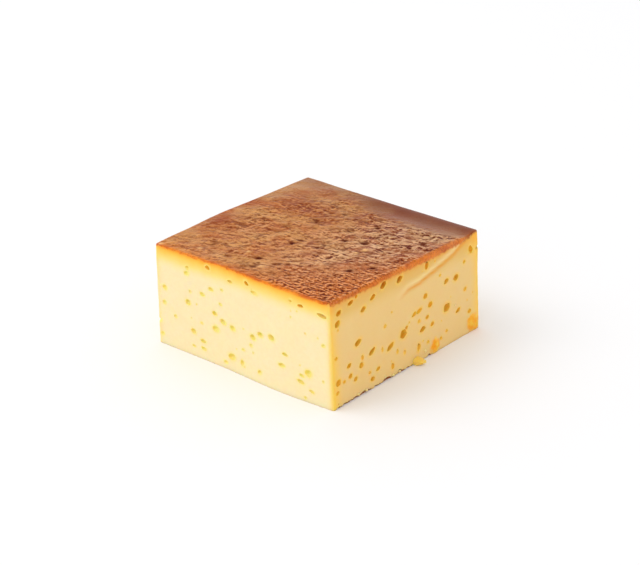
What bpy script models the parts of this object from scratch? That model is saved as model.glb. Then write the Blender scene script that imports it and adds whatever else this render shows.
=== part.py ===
"""Caramel flan: one square block of baked custard under a browned skin, cut from a tray.

The block stands on its flat foot. X runs from left to right along the front cut face, Y runs from the
front cut face to the back, and Z is up. The origin is the middle of the foot. Lengths are in metres.
"""

import math
import random

import bmesh
import bpy
from mathutils import Matrix, Vector, noise

MM = 0.001

# Driving dimensions: the foot is a little larger than the top, because soft custard settles outwards.
HEIGHT = 37.9 * MM
FOOT_LENGTH = 81.8 * MM
FOOT_WIDTH = 79.4 * MM
TOP_LENGTH = 79.2 * MM
TOP_WIDTH = 78.6 * MM
EDGE_RADIUS = 0.7 * MM

# The knife does not cut quite square: how far each corner lies from its place, along X and Y.
TOP_CORNER_SHIFTS = {
    (-1, -1): (-0.5 * MM, -0.4 * MM),
    (1, -1): (-0.9 * MM, 0.0 * MM),
    (1, 1): (0.1 * MM, -0.2 * MM),
    (-1, 1): (0.0 * MM, 0.1 * MM),
}
FOOT_CORNER_SHIFTS = {
    (1, 1): (-0.7 * MM, 0.0 * MM),
}

# The front face bows outwards at its foot, towards its right end.
BOW = 1.4 * MM
BOW_MIDDLE = 18 * MM
BOW_REACH = 20 * MM

# Broad swells of the top: middle X, middle Y, rise, reach.
TOP_SWELLS = (
    (-34 * MM, -10 * MM, 1.2 * MM, 24 * MM),
    (-38 * MM, 14 * MM, 0.7 * MM, 26 * MM),
    (-38 * MM, 34 * MM, 0.3 * MM, 20 * MM),
    (-10 * MM, -34 * MM, 0.4 * MM, 22 * MM),
    (12 * MM, 6 * MM, 0.5 * MM, 26 * MM),
    (-42 * MM, -32 * MM, 0.5 * MM, 14 * MM),
)

# The smooth gutter where the skin dried beside the back edge.
GUTTER_DISTANCE = 6.5 * MM
GUTTER_DEPTH = 0.8 * MM
GUTTER_HALF_WIDTH = 4.5 * MM
GUTTER_START = -0.35
GUTTER_FULL = 0.1

# The folds of the skin and the faint waves that the knife leaves on a cut face.
FOLD_HEIGHT = 0.45 * MM
FOLD_LENGTH = 5.5 * MM
WAVE_HEIGHT = 0.35 * MM
WAVE_LENGTH = 17 * MM

# How many strips the mesh has across the block and up it.
STRIPS_ACROSS = 28
STRIPS_UP = 5

# Bubbles that the knife opened: place along the face from its left edge, place up it, width, height,
# and depth as a share of the width. The faces are seen from outside, and lengths are in millimetres.
FRONT_BUBBLES = (
    (16, 33, 1.8, 1.6, 0.4), (15.5, 31, 2.4, 1.6, 0.3), (26, 35.5, 2.2, 1.6, 0.5), (44.5, 35, 2.2, 1.4, 0.6),
    (48, 32.5, 3, 1.4, 0.3), (69.5, 34, 2.6, 1.2, 0.5), (4, 22.5, 2.2, 1.8, 0.5), (15.5, 20, 2.6, 2, 0.6),
    (22.7, 25, 2.4, 1.4, 0.4), (27, 28, 2.4, 1.4, 0.5), (28.5, 19.5, 2.4, 1.6, 0.6),
    (32.5, 17.5, 2.8, 1.8, 0.5), (37, 16.5, 2.4, 2, 0.5), (28.8, 13.8, 3.2, 2.4, 0.4),
    (17.5, 9.5, 2.4, 2, 0.6), (22, 7, 2.6, 1.4, 0.6), (46.5, 16, 2.6, 2, 0.6), (50, 18, 2.6, 1.8, 0.6),
    (55.3, 18.5, 3, 2, 0.7), (61.4, 14.4, 2.4, 1.2, 0.6), (59.8, 10, 3, 1.4, 0.4), (36, 5.5, 3.4, 2.4, 0.5),
    (41, 4.8, 1.8, 2.4, 0.5), (49.3, 4, 1.8, 1.6, 0.4), (71.5, 10.5, 3, 2.6, 0.5), (68, 6.5, 3, 1.4, 0.5),
    (78.7, 33, 4.2, 1.5, 0.4), (0, 9, 2.6, 1.6, 0.5),
)
RIGHT_BUBBLES = (
    (5, 33, 2.6, 1.8, 0.6), (4, 29.5, 2.8, 2.2, 0.6), (11, 34.5, 2.6, 1.4, 0.5), (17, 30, 2.8, 1.8, 0.6),
    (22, 32.5, 2.8, 1.6, 0.5), (27.5, 35, 3.2, 2.2, 0.7), (36, 34, 3.2, 2.2, 0.7), (50.5, 34, 2, 3, 0.6),
    (13.5, 19.5, 3.4, 2, 0.6), (8.5, 13, 2.2, 1.6, 0.5), (20.5, 13.5, 3.6, 1.8, 0.6),
    (14.7, 10.7, 2.2, 2, 0.5), (9, 9, 2, 1.6, 0.5), (11.5, 7, 2, 1.6, 0.5), (3, 9, 2.6, 2.2, 0.5),
    (20, 3.6, 2.2, 1.6, 0.6), (23.1, 6.1, 2.2, 1.4, 0.4), (30.7, 4, 1.8, 2.4, 0.4), (30, 11.5, 4, 1.8, 0.4),
    (37, 13.5, 3.4, 3.2, 0.7), (47, 11.5, 3, 1.8, 0.6), (52.5, 11.5, 2, 1.6, 0.4), (50, 15, 2, 1.4, 0.5),
    (49.5, 23, 2.2, 2, 0.5), (52, 19, 2.4, 2, 0.4), (61, 24.5, 2.6, 1.8, 0.6), (66.5, 24, 3, 2.4, 0.6),
    (61, 14.5, 3.6, 3.2, 0.7), (67.5, 11, 2.6, 1.4, 0.5), (75, 32, 1.8, 3, 0.5), (73.7, 8.4, 2, 1.6, 0.4),
    (44.8, 5.5, 1.8, 3, 0.4),
)

# A bubble's form: how many sides and rings it has, and how far it may be turned in the face, in radians.
BUBBLE_SIDES = 10
BUBBLE_RINGS = 5
BUBBLE_TURN = 0.3

# The back and left faces are strewn with bubbles of the same sizes by a rule.
STREWN_COUNT = 16
STREWN_WIDTHS = (2.0, 3.4)
STREWN_FLATNESS = (0.55, 0.9)
STREWN_DEPTHS = (0.4, 0.65)
STREWN_MARGIN = 3.0
STREWN_GAP = 4.5

# Chips that the spatula tore out of the right face's foot: place along, width, height.
FOOT_CHIPS = (
    (2.2, 1.6, 1.0), (5.8, 3.2, 1.4), (8.9, 1.4, 1.2), (11.4, 3.0, 1.6), (15.8, 5.6, 2.3), (21.5, 2.2, 1.2),
    (27.4, 4.8, 2.3), (34.4, 2.4, 2.8), (38.6, 2.2, 1.2), (42.6, 2.8, 2.0), (50.4, 1.8, 1.6),
)
CHIP_DEPTH = 0.6
CHIP_CENTRE = 0.1

# Crumbs pressed into the right face at its foot, and the torn corner at its far end: as the bubbles.
# They are uneven all over, and keep just clear of the floor.
CRUMBS = ((43.4, 1.2, 4.0, 2.4, 0.85), (53.6, 2.7, 4.8, 5.0, 0.24), (75.2, 3.6, 5.6, 6.2, 0.15))
CRUMB_ROUGHNESS = 0.35
CRUMB_CLEARANCE = 0.1 * MM

# Each upright face by the corners at its left and right ends, seen from outside.
FACES = {
    "front": ((-1, -1), (1, -1)),
    "right": ((1, -1), (1, 1)),
    "back": ((1, 1), (-1, 1)),
    "left": ((-1, 1), (-1, -1)),
}


def smooth_step(start, end, value):
    share = min(1.0, max(0.0, (value - start) / (end - start)))
    return share * share * (3 - 2 * share)


def swells(x, y):
    """The broad rise and fall of the top."""
    return sum(
        rise * math.exp(-((x - at_x) ** 2 + (y - at_y) ** 2) / (2 * (reach / 2) ** 2))
        for at_x, at_y, rise, reach in TOP_SWELLS
    )


def gutter(s, y):
    """How strongly the gutter is felt at this place, from 0 to 1."""
    across = (TOP_WIDTH / 2 - GUTTER_DISTANCE - y) / GUTTER_HALF_WIDTH
    return math.exp(-(across**2)) * smooth_step(GUTTER_START, GUTTER_FULL, s)


def folds(x, y):
    """The crumpled skin, which lies in long low folds across the block's diagonal."""
    along, over = (x + y) * math.sqrt(0.5), (y - x) * math.sqrt(0.5)
    place = Vector((0.55 * along, over, 0)) / FOLD_LENGTH
    return FOLD_HEIGHT * noise.noise(place)


def top_relief(s, t, x, y):
    """How far the top stands above the plain height."""
    edge = max(abs(s), abs(t))
    crumple = folds(x, y) * (1 - smooth_step(0.9, 1.0, edge)) * (1 - gutter(s, y))
    return swells(x, y) - GUTTER_DEPTH * gutter(s, y) + crumple


def shifted(x, y, s, t, corner_shifts):
    """Moves a point by the shifts of the corners, each as far as the point is near it."""
    for (side_s, side_t), (shift_x, shift_y) in corner_shifts.items():
        nearness = (1 + side_s * s) * (1 + side_t * t) / 4
        x += nearness * shift_x
        y += nearness * shift_y
    return x, y


def bow(x, t, w):
    """How far the front face bows outwards here."""
    return BOW * math.exp(-(((x - BOW_MIDDLE) / BOW_REACH) ** 2)) * (1 - w) ** 2 * max(0, -t) ** 3


def plan(s, t, w):
    """Where a point lies in plan: s and t run from -1 to 1 across the block, and w from 0 to 1 up it."""
    foot_x, foot_y = shifted(s * FOOT_LENGTH / 2, t * FOOT_WIDTH / 2, s, t, FOOT_CORNER_SHIFTS)
    top_x, top_y = shifted(s * TOP_LENGTH / 2, t * TOP_WIDTH / 2, s, t, TOP_CORNER_SHIFTS)
    x = foot_x + w * (top_x - foot_x)
    return x, foot_y + w * (top_y - foot_y) - bow(x, t, w)


def waves(across, up, seed):
    """The faint waves of a cut face, which die out towards its foot and its rim."""
    place = Vector((across / WAVE_LENGTH, 1.6 * up / WAVE_LENGTH, seed))
    return WAVE_HEIGHT * noise.noise(place) * smooth_step(0, 0.15, up / HEIGHT)


def surface(s, t, w):
    """The real place of a point of the block."""
    x, y = plan(s, t, w)
    z = w * HEIGHT + top_relief(s, t, x, y) * w**4
    if abs(s) > 1 - 1e-6:
        x += s * waves(y, z, 3.0 + s)
    if abs(t) > 1 - 1e-6:
        y += t * waves(x, z, 9.0 + t)
    return Vector((x, y, z))


def rounded(s, t, w):
    """Eases a point of the plain box into its rounded upper and upright edges."""
    half_length, half_width = TOP_LENGTH / 2, TOP_WIDTH / 2
    point = Vector((s * half_length, t * half_width, w * HEIGHT))
    inner = Vector((
        max(EDGE_RADIUS - half_length, min(half_length - EDGE_RADIUS, point.x)),
        max(EDGE_RADIUS - half_width, min(half_width - EDGE_RADIUS, point.y)),
        min(HEIGHT - EDGE_RADIUS, point.z),
    ))
    reach = point - inner
    if reach.length > EDGE_RADIUS:
        point = inner + reach.normalized() * EDGE_RADIUS
    return point.x / half_length, point.y / half_width, point.z / HEIGHT


def lines_across(rim):
    """Where strips meet between -1 and 1, with the first and last line a rim's width inside the ends."""
    return [(1 - rim) * (2 * i / STRIPS_ACROSS - 1) for i in range(STRIPS_ACROSS + 1)]


def lines_up(rim):
    """Where strips meet between 0 and 1, with the last line a rim's width below the top."""
    return [(1 - rim) * (i + 1) / STRIPS_UP for i in range(STRIPS_UP)]


def plain_box():
    """A box from -1 to 1 across and 0 to 1 up, cut into strips, with its foot left as one face."""
    bm = bmesh.new()
    half_height = Matrix.Diagonal((1, 1, 0.5, 1))
    bmesh.ops.create_cube(bm, size=2, matrix=half_height @ Matrix.Translation((0, 0, 1)))
    lines = (
        lines_across(2 * EDGE_RADIUS / TOP_LENGTH),
        lines_across(2 * EDGE_RADIUS / TOP_WIDTH),
        lines_up(EDGE_RADIUS / HEIGHT),
    )
    for axis, places in enumerate(lines):
        normal = Vector((axis == 0, axis == 1, axis == 2))
        for place in places:
            everything = bm.verts[:] + bm.edges[:] + bm.faces[:]
            bmesh.ops.bisect_plane(bm, geom=everything, dist=1e-7, plane_co=normal * place, plane_no=normal)
    foot = [face for face in bm.faces if face.normal.z < -0.9]
    bmesh.ops.dissolve_faces(bm, faces=foot, use_verts=False)
    return bm


def new_object(name, bm, collection):
    mesh = bpy.data.meshes.new(name)
    bm.to_mesh(mesh)
    bm.free()
    obj = bpy.data.objects.new(name, mesh)
    collection.objects.link(obj)
    return obj


def make_block(collection):
    """The uncut block, with its top and its cut faces in place."""
    bm = plain_box()
    for vert in bm.verts:
        vert.co = surface(*rounded(*vert.co))
    return new_object("flan", bm, collection)


def face_length(face):
    left, right = FACES[face]
    return FOOT_LENGTH if left[1] == right[1] else FOOT_WIDTH


def on_face(face, along, up):
    """The place and the axes of a spot on an upright face: along it, up it, and outwards."""
    left, right = FACES[face]
    share, w = along * MM / face_length(face), up * MM / HEIGHT
    here, beside, above = (
        surface(*(left[i] + (right[i] - left[i]) * (share + ahead) for i in (0, 1)), w + higher)
        for ahead, higher in ((0, 0), (0.01, 0), (0, 0.01))
    )
    along_axis = (beside - here).normalized()
    outward = along_axis.cross(above - here).normalized()
    return here, Matrix((along_axis, outward.cross(along_axis), outward)).transposed()


def add_egg(bm, face, along, up, width, height, depth, turn=0.0):
    """A flattened egg, half of it inside the face: it cuts one bubble or chip, or makes one crumb."""
    here, axes = on_face(face, along, up)
    size = Matrix.Diagonal((width / 2 * MM, height / 2 * MM, depth * MM, 1))
    place = Matrix.Translation(here) @ axes.to_4x4() @ Matrix.Rotation(turn, 4, "Z") @ size
    made = bmesh.ops.create_uvsphere(
        bm, u_segments=BUBBLE_SIDES, v_segments=BUBBLE_RINGS, radius=1, matrix=place
    )
    return here, made["verts"]


def strewn(draw, length):
    """Bubbles for a face that follows the rule: none near its ends, and none on another."""
    spots = []
    while len(spots) < STREWN_COUNT:
        along = draw.uniform(STREWN_MARGIN, length / MM - STREWN_MARGIN)
        up = draw.uniform(STREWN_MARGIN, HEIGHT / MM - STREWN_MARGIN)
        width = draw.uniform(*STREWN_WIDTHS)
        flatness, depth = draw.uniform(*STREWN_FLATNESS), draw.uniform(*STREWN_DEPTHS)
        if all(math.hypot(along - other[0], up - other[1]) > STREWN_GAP for other in spots):
            spots.append((along, up, width, width * flatness, depth))
    return spots


def helper(name, bm, collection):
    """An object that only cuts or joins, and is not part of the food."""
    obj = new_object(name, bm, collection)
    obj.hide_render = True
    obj.display_type = "WIRE"
    return obj


def make_cutter(collection):
    """Every opened bubble and chip as one cutter."""
    draw = random.Random(11)
    bm = bmesh.new()
    bubbles = {
        "front": FRONT_BUBBLES,
        "right": RIGHT_BUBBLES,
        "back": strewn(draw, face_length("back")),
        "left": strewn(draw, face_length("left")),
    }
    for face, spots in bubbles.items():
        for along, up, width, height, depth in spots:
            turn = draw.uniform(-BUBBLE_TURN, BUBBLE_TURN)
            add_egg(bm, face, along, up, width, height, depth * width, turn)
    for along, width, height in FOOT_CHIPS:
        add_egg(bm, "right", along, CHIP_CENTRE, width, height, CHIP_DEPTH)
    return helper("bubble_cutter", bm, collection)


def make_crumbs(collection):
    """The lumps that stick to the right face, uneven all over and just clear of the floor."""
    bm = bmesh.new()
    for along, up, width, height, depth in CRUMBS:
        here, verts = add_egg(bm, "right", along, up, width, height, depth * width)
        for vert in verts:
            swelling = 1 + CRUMB_ROUGHNESS * noise.noise(vert.co / MM)
            vert.co = here + (vert.co - here) * swelling
            vert.co.z = max(vert.co.z, CRUMB_CLEARANCE)
    return helper("crumbs", bm, collection)


def plain_material(name, colour, roughness):
    material = bpy.data.materials.new(name)
    material.use_nodes = True
    shader = material.node_tree.nodes["Principled BSDF"]
    shader.inputs["Base Color"].default_value = (*colour, 1)
    shader.inputs["Roughness"].default_value = roughness
    shader.inputs["Metallic"].default_value = 0
    return material


def paint(block):
    """Custard all over, and the browned skin on the top."""
    block.data.materials.append(plain_material("custard", (0.93, 0.70, 0.36), 0.45))
    block.data.materials.append(plain_material("browned_skin", (0.42, 0.17, 0.07), 0.35))
    for polygon in block.data.polygons:
        polygon.material_index = int(polygon.normal.z > 0.6)


def add_boolean(block, name, operation, other):
    boolean = block.modifiers.new(name, "BOOLEAN")
    boolean.operation = operation
    boolean.solver = "EXACT"
    boolean.use_self = True
    boolean.object = other


def centre_foot(block, cutter, crumbs):
    """Moves everything so that the origin is the middle of the block with its crumbs."""
    outer = [vert.co for obj in (block, crumbs) for vert in obj.data.vertices]
    middle = [(min(co[axis] for co in outer) + max(co[axis] for co in outer)) / 2 for axis in (0, 1)]
    for obj in (block, cutter, crumbs):
        obj.data.transform(Matrix.Translation((-middle[0], -middle[1], 0)))


def new_collection(name):
    collection = bpy.data.collections.new(name)
    bpy.context.scene.collection.children.link(collection)
    return collection


def main():
    for obj in list(bpy.data.objects):
        bpy.data.objects.remove(obj)
    parts, cutters = new_collection("caramel_flan"), new_collection("cutters")
    block = make_block(parts)
    paint(block)
    cutter = make_cutter(cutters)
    crumbs = make_crumbs(cutters)
    centre_foot(block, cutter, crumbs)
    add_boolean(block, "opened_bubbles", "DIFFERENCE", cutter)
    add_boolean(block, "stuck_crumbs", "UNION", crumbs)
    block.data.shade_smooth()
    block.data.set_sharp_from_angle(angle=math.radians(40))


main()
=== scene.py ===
import math
import random

import bmesh
import bpy
import numpy as np
from mathutils import Matrix, Vector, noise


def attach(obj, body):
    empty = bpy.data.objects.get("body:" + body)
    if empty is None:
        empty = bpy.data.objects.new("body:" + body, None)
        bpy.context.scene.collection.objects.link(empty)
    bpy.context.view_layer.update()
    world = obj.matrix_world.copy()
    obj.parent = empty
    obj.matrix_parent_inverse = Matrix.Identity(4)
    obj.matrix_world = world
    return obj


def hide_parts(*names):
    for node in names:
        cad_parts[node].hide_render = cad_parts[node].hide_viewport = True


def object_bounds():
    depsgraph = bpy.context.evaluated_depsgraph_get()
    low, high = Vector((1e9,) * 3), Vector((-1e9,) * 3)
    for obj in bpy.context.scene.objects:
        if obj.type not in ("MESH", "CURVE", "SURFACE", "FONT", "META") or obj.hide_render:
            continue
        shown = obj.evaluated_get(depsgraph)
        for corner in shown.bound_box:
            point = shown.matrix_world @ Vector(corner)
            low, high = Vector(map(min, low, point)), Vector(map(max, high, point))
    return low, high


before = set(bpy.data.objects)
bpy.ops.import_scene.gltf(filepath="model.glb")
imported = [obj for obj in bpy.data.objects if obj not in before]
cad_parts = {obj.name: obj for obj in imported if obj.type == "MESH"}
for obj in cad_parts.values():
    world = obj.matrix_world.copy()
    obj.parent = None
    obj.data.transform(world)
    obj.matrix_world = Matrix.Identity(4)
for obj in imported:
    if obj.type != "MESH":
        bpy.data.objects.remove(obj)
cad_low, cad_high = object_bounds()
MM = 0.001

# ----------------------------------------------------------------------------------------------------
# The custard. Eggs, milk and sugar are baked in a tray, left to cool and cut into squares with a wet
# knife. The soft block settles, so its foot is a little wider than its top, and no cut face is quite
# flat. X runs along the paler cut face, Y runs back from it, and the block stands on its foot.

HEIGHT = 37.9 * MM
FOOT_LENGTH = 81.8 * MM
FOOT_WIDTH = 79.4 * MM
TOP_LENGTH = 79.2 * MM
TOP_WIDTH = 78.6 * MM
EDGE_RADIUS = 0.7 * MM

# How far each corner strays from its place, along X and along Y.
TOP_CORNER_SHIFTS = {
    (-1, -1): (-0.5 * MM, -0.4 * MM),
    (1, -1): (-0.9 * MM, 0.0 * MM),
    (1, 1): (0.1 * MM, -0.2 * MM),
    (-1, 1): (0.0 * MM, 0.1 * MM),
}
FOOT_CORNER_SHIFTS = {
    (1, 1): (-0.7 * MM, 0.0 * MM),
}

# The front face bows outwards at its foot, towards its right end.
BOW = 1.4 * MM
BOW_MIDDLE = 18 * MM
BOW_REACH = 20 * MM
FOOT_MIDDLE = Vector((cad_low.x + FOOT_LENGTH / 2, cad_low.y + FOOT_WIDTH / 2 + BOW, 0))

# Broad swells of the top: middle X, middle Y, rise, reach.
TOP_SWELLS = (
    (-34 * MM, -10 * MM, 1.2 * MM, 24 * MM),
    (-38 * MM, 14 * MM, 0.7 * MM, 26 * MM),
    (-38 * MM, 34 * MM, 0.3 * MM, 20 * MM),
    (-10 * MM, -34 * MM, 0.4 * MM, 22 * MM),
    (12 * MM, 6 * MM, 0.5 * MM, 26 * MM),
    (-42 * MM, -32 * MM, 0.5 * MM, 14 * MM),
)

# The faint waves that the knife leaves on a cut face, and the fine unevenness of the curd.
WAVE_HEIGHT = 0.35 * MM
WAVE_LENGTH = 17 * MM
CURD_HEIGHT = 0.07 * MM
CURD_LENGTH = 2.6 * MM

# The mesh has this many strips across the block and up it, and they narrow towards the rim.
STRIPS_ACROSS = 184
STRIPS_UP = 50
NARROWING_ACROSS = 0.2
NARROWING_UP = 0.3


def smooth_step(start, end, value):
    share = np.clip((value - start) / (end - start), 0, 1)
    return share * share * (3 - 2 * share)


def hump(value, middle, reach):
    """1 at the middle, dying out on both sides of it."""
    return np.exp(-(((value - middle) / reach) ** 2))


def noise_at(x, y, z=0.0):
    """Smooth noise, about -1 to 1, at each of many places."""
    places = np.broadcast_arrays(x, y, z)
    return np.array([noise.noise(Vector(place)) for place in zip(*(axis.ravel() for axis in places))])


def swells(x, y):
    """The broad rise and fall of the top."""
    rise = np.zeros_like(x)
    for at_x, at_y, height, reach in TOP_SWELLS:
        rise += height * np.exp(-((x - at_x) ** 2 + (y - at_y) ** 2) / (2 * (reach / 2) ** 2))
    return rise


def shifted(x, y, s, t, corner_shifts):
    """Moves points by the shifts of the corners, each as far as the point is near it."""
    for (side_s, side_t), (shift_x, shift_y) in corner_shifts.items():
        nearness = (1 + side_s * s) * (1 + side_t * t) / 4
        x, y = x + nearness * shift_x, y + nearness * shift_y
    return x, y


def bow(x, t, w):
    """How far the front face bows outwards here."""
    return BOW * hump(x, BOW_MIDDLE, BOW_REACH) * (1 - w) ** 2 * np.maximum(0, -t) ** 3


def plan(s, t, w):
    """Where a point lies in plan: s and t run from -1 to 1 across the block, and w from 0 to 1 up it."""
    foot_x, foot_y = shifted(s * FOOT_LENGTH / 2, t * FOOT_WIDTH / 2, s, t, FOOT_CORNER_SHIFTS)
    top_x, top_y = shifted(s * TOP_LENGTH / 2, t * TOP_WIDTH / 2, s, t, TOP_CORNER_SHIFTS)
    x = foot_x + w * (top_x - foot_x)
    return x, foot_y + w * (top_y - foot_y) - bow(x, t, w)


def cut_face_relief(across, up, seed):
    """How far a cut face stands out: its waves, which die out at the foot, and its curd."""
    waves = WAVE_HEIGHT * noise_at(across / WAVE_LENGTH, 1.6 * up / WAVE_LENGTH, seed)
    curd = CURD_HEIGHT * noise_at(across / CURD_LENGTH, up / CURD_LENGTH, seed + 20)
    return waves * smooth_step(0, 0.15, up / HEIGHT) + curd


def rounded(s, t, w):
    """Eases points of the plain box into its rounded upper and upright edges."""
    halves = np.array([[TOP_LENGTH / 2], [TOP_WIDTH / 2], [HEIGHT]])
    point = np.stack([s, t, w]) * halves
    inner = np.clip(point, EDGE_RADIUS - halves, halves - EDGE_RADIUS)
    reach = point - inner
    length = np.linalg.norm(reach, axis=0)
    point = inner + reach * np.where(length > EDGE_RADIUS, EDGE_RADIUS / np.maximum(length, 1e-9), 1)
    return point / halves


# The right-hand cut face has a long shallow crease where the knife dragged the skin down, given by
# points along the face from its near end and up it, with a low flap above it. Near its foot are torn
# patches: place along, place up, reach and height. All are in millimetres.
CREASE_LINE = ((73, 36.5), (65, 33), (59.7, 31.7), (51.8, 30.2), (46, 28.9), (40.3, 28.6), (36.3, 27))
CREASE_DEPTH = 0.18
CREASE_HALF_WIDTH = 0.6
CREASE_FADES = (0.7, 1.1)
FLAP_HEIGHT = 0.25
FLAP_PLACE = 1.3
FLAP_HALF_WIDTH = 0.9
TORN_PATCHES = ((53.6, 2.8, 2.7, 1.25), (75.2, 3.8, 3.2, 0.9), (77, 1.8, 1.6, 0.8))
TORN_ROUGHNESS = 0.8


def crease_distance(along, up):
    """Signed distance from the crease in millimetres, positive above it, and where it fades out."""
    nearest, side, share = np.full_like(along, 1e3), np.ones_like(along), np.zeros_like(along)
    pieces = len(CREASE_LINE) - 1
    for number, (first, last) in enumerate(zip(CREASE_LINE, CREASE_LINE[1:])):
        run_along, run_up = last[0] - first[0], last[1] - first[1]
        place = ((along - first[0]) * run_along + (up - first[1]) * run_up) / (run_along**2 + run_up**2)
        place = np.clip(place, 0, 1)
        off_along, off_up = along - first[0] - place * run_along, up - first[1] - place * run_up
        distance = np.hypot(off_along, off_up)
        closer = distance < nearest
        nearest = np.where(closer, distance, nearest)
        side = np.where(closer, np.sign(off_up), side)
        share = np.where(closer, (number + place) / pieces, share)
    return nearest * side, 1 - smooth_step(*CREASE_FADES, share)


def crease_relief(along, up):
    """The groove of the crease and the flap above it, in millimetres."""
    distance, strength = crease_distance(along, up)
    groove = -CREASE_DEPTH * hump(distance, 0, CREASE_HALF_WIDTH)
    return (groove + FLAP_HEIGHT * hump(distance, FLAP_PLACE, FLAP_HALF_WIDTH)) * strength


def torn_share(along, up):
    """1 in the middle of a torn patch and 0 outside them, with ragged outlines."""
    ragged = 0.35 * noise_at(along / 1.6, up / 1.6, 5.0)
    share = np.zeros_like(along)
    for at_along, at_up, reach, _ in TORN_PATCHES:
        distance = np.hypot(along - at_along, up - at_up) / reach + ragged
        share = np.maximum(share, 1 - smooth_step(0.8, 1.15, distance))
    return share


def torn_relief(along, up):
    """The rough lumps of the torn patches, in millimetres."""
    lumps = 1 + TORN_ROUGHNESS * noise_at(along / 1.3, up / 1.3, 8.0)
    relief = np.zeros_like(along)
    for at_along, at_up, reach, height in TORN_PATCHES:
        distance = np.hypot(along - at_along, up - at_up) / reach
        relief += height * np.exp(-(distance**2) * 1.6) * lumps
    return relief


# ----------------------------------------------------------------------------------------------------
# The browned skin. In the oven the custard's surface dries into a thin caramel-brown skin, which
# wrinkles as the block cools and stays smooth in the shallow gutter along the back edge. It is not a
# separate sheet: it is the top of the block, so here it is relief on it, with a finish of its own.

# The gutter, and the smooth dark stretch of skin in it, which ends in a point at its left. Skin is
# half smooth at the back corner and along the left edge too.
GUTTER_DISTANCE = 6.5 * MM
GUTTER_DEPTH = 0.8 * MM
GUTTER_HALF_WIDTH = 4.5 * MM
GUTTER_START = -0.35
GUTTER_FULL = 0.1
SMOOTH_MIDDLE = 0.45
SMOOTH_HALF_LENGTH = 1.0
SMOOTH_WIDTH = 13 * MM
SMOOTH_BACK_CORNER = 0.6
SMOOTH_LEFT_EDGE = 0.45

# Long low folds, and short overlapping wrinkles of two sizes: spacing, height and seed. A wrinkle
# rises gently towards the near corner to its crest, which lies this share of the way across it, and
# drops steeply into a crease just past that.
FOLD_HEIGHT = 0.45 * MM
FOLD_LENGTH = 5.5 * MM
GRAIN_DIRECTION = (0.743, 0.669)
GRAIN_TURN = math.atan2(GRAIN_DIRECTION[1], GRAIN_DIRECTION[0])
COARSE_WRINKLES = (2.2 * MM, 0.45 * MM, 4.0)
FINE_WRINKLES = (1.4 * MM, 0.28 * MM, 12.0)
CREST = 0.68
SKIN_LEVEL = 0.2 * MM

# Pits where a bubble burst in the skin: X, Y, radius and depth in millimetres. They are longer along
# the grain than across it, and more are strewn about.
SKIN_PITS = (
    (-9.3, 10.3, 1.3, 1.2), (-3.3, -10.1, 0.9, 0.8), (6, 10.6, 0.9, 0.8), (12.2, 18.4, 0.9, 0.7),
    (17, 5.1, 1.0, 0.9), (10.6, 2.7, 0.8, 0.7), (-14.8, -0.2, 0.9, 0.6), (7.4, -4.6, 0.7, 0.6),
    (-3.6, -26.5, 0.9, 0.7), (-0.4, -32.5, 0.8, 0.6), (4.8, -25.7, 0.7, 0.6), (7.5, -24.2, 0.7, 0.6),
    (27.2, -14.8, 0.9, 0.7), (32.1, -8.7, 0.8, 0.7), (6.8, -7.7, 0.7, 0.6), (-2.5, -6.5, 0.7, 0.6),
    (-5.2, 21, 0.8, 0.5), (32.9, 17.5, 0.8, 0.6), (14.8, 26.8, 0.7, 0.5), (37.5, 34, 0.9, 0.6),
)
SPOT_LENGTH = 1.4
STREWN_PITS = 130
STREWN_PITS_X = (-34, 37)
STREWN_PITS_Y = (-37, 25)
STREWN_PIT_RADII = (0.35, 0.7)
STREWN_PIT_DEPTHS = (0.2, 0.5)

# A pit this deep is fully coloured with painted shade, and a fleck this high is fully coloured.
DARK_PIT = 0.7
PALE_FLECK = 0.3

# Small raised flecks of pale curd on the skin, some put where tiny glints show, so that their paleness is
# partly a painted highlight: X, Y, radius and height in millimetres.
SKIN_FLECKS = (
    (21.1, 0.2, 0.6, 0.4), (-9.7, -25, 0.5, 0.35), (1.9, -30.8, 0.6, 0.35), (-24.8, -33, 0.5, 0.3),
    (20, -3, 0.4, 0.3), (-38, -38.6, 0.6, 0.3),
)

# Soft stains where the skin browned more: X, Y, reach in millimetres, and strength.
SKIN_STAINS = (
    (-38.6, 6.4, 5, 0.9), (-21, 16, 8, 1), (-19.8, -21.4, 4, 0.35), (-17, -7.1, 4, 0.4),
    (-15.9, -1.1, 3, 0.4), (-6.9, 12.2, 6, 0.9), (-27.1, 23.7, 4, 0.5), (-34, -13, 8, 1),
    (35, 4, 6, 1), (12, -27, 4, 0.4), (2, 24, 6, 1), (26, -6, 4, 0.9), (38, 37, 3, 0.9),
    (2, -6, 4, 0.7),
)

# Soft paler places, written in the same way.
PALE_PLACES = (
    (2, 3, 6, 0.7), (-22, -14, 7, 0.6), (1, -17, 6, 0.7), (26, 13, 5, 0.6), (-22, -34, 6, 0.5),
    (14, -15, 5, 0.5), (-21, -6, 4, 0.5), (-10, -16, 5, 0.4),
)

# The skin's edge: how far its lumps stand out, how long they are, and how much the wrinkles die out.
RIM_LUMP_HEIGHT = 0.05 * MM
RIM_LUMP_LENGTH = 2.8 * MM
RIM_CALM = 0.75


def gutter(s, y):
    """How strongly the gutter is felt at this place, from 0 to 1."""
    across = hump(y, TOP_WIDTH / 2 - GUTTER_DISTANCE, GUTTER_HALF_WIDTH)
    return across * smooth_step(GUTTER_START, GUTTER_FULL, s)


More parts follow.
